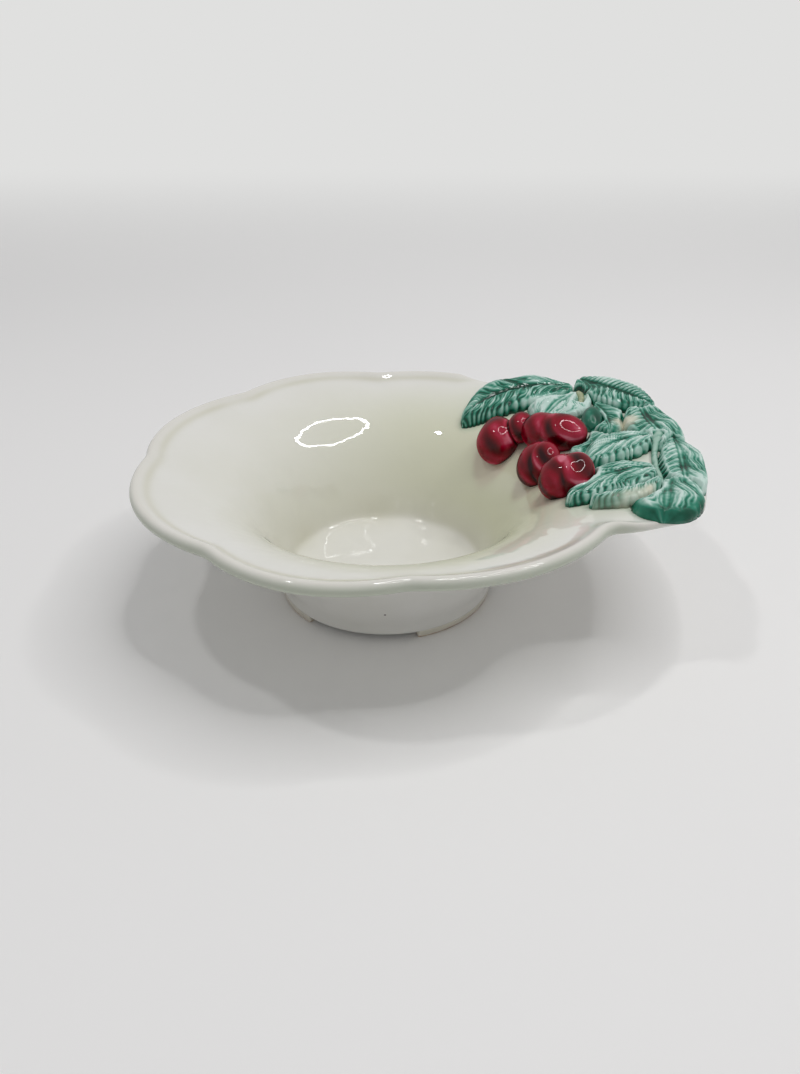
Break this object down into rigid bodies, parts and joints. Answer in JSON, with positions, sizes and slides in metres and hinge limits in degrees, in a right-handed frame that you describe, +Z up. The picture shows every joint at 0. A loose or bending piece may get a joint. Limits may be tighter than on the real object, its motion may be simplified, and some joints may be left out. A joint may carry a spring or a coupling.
{
  "type": "bowl",
  "caption": "Round scalloped earthenware bowl with a rolled rim, a broad leaf handle on one side and raised leaves and cherries, standing on a low interrupted foot.",
  "frame": {"origin": "centre of the foot ring, on the plane that the foot pads stand on", "axes": "+Z up out of the bowl, +X from the middle of the bowl towards the leaf handle, +Y towards the back of the bowl"},
  "size_m": [0.2238, 0.1993, 0.0683],
  "materials": {
    "cream_glaze": "gloss",
    "green_glaze": "gloss",
    "twig_glaze": "gloss",
    "crimson_glaze": "gloss"
  },
  "bodies": {
    "root": {"bowl_body": "cream_glaze", "foot_pads": "cream_glaze", "leaf_between_cherries": "green_glaze", "leaf_beside_bud": "green_glaze", "leaf_outer_back": "green_glaze", "leaf_outer_front": "green_glaze", "leaf_front_edge": "green_glaze", "leaf_front_small": "green_glaze", "leaf_middle": "green_glaze", "leaf_front_inner": "green_glaze", "leaf_back_rim": "green_glaze", "leaf_over_cherries": "green_glaze", "leaf_back_left": "green_glaze", "leaf_bud": "green_glaze", "twig_back": "twig_glaze", "twig_front": "twig_glaze", "cherry_back_left": "crimson_glaze", "cherry_back_right": "crimson_glaze", "cherry_front_left": "crimson_glaze", "cherry_front_right": "crimson_glaze"}
  },
  "joints": []
}
